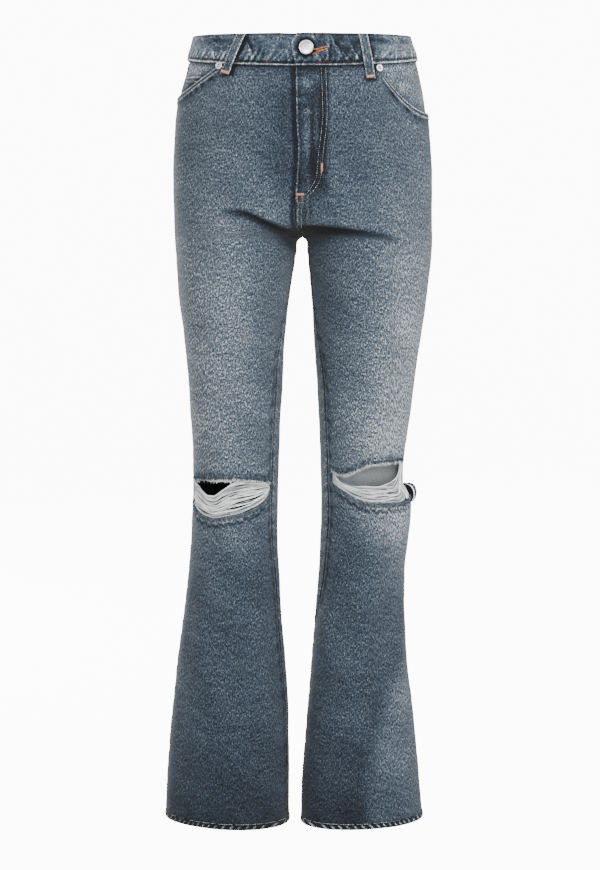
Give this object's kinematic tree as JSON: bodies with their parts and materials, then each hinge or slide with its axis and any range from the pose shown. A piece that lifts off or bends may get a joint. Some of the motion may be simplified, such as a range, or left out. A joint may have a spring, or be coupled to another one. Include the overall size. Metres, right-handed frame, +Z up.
{
  "type": "ripped jeans",
  "caption": "Hollow worn bootcut jeans with a lapped fly, patch and scooped pockets and torn knees, open at waist and hems, holding the form they take on a wearer.",
  "frame": {"origin": "centre of the waist opening, at the top edge of the waistband", "axes": "+Z up towards the wearer's head, the front faces -Y, the wearer's left side is +X"},
  "size_m": [0.3769, 0.2309, 1.1088],
  "materials": {
    "denim_front": "washed denim",
    "denim_back": "washed denim",
    "denim_band": "washed denim, doubled",
    "denim_trim": "washed denim",
    "denim_hem": "washed denim, turned up",
    "white_thread": "loose cotton threads",
    "button_metal": "worn silver colour",
    "rivet_metal": "worn silver colour"
  },
  "bodies": {
    "root": {"waistband": "denim_band", "front_right": "denim_front", "front_left": "denim_front", "back_right": "denim_back", "back_left": "denim_back", "yoke_right": "denim_back", "yoke_left": "denim_back", "pocket_facing_right": "denim_trim", "pocket_facing_left": "denim_trim", "coin_pocket": "denim_trim", "back_pocket_right": "denim_back", "back_pocket_left": "denim_back", "hem_right": "denim_hem", "hem_left": "denim_hem", "belt_loop_front_right": "denim_trim", "belt_loop_front_left": "denim_trim", "belt_loop_back_right": "denim_trim", "belt_loop_back_left": "denim_trim", "belt_loop_back": "denim_trim", "knee_threads_right": "white_thread", "knee_threads_left": "white_thread", "button": "button_metal", "rivet_right": "rivet_metal", "rivet_left": "rivet_metal"}
  },
  "joints": []
}
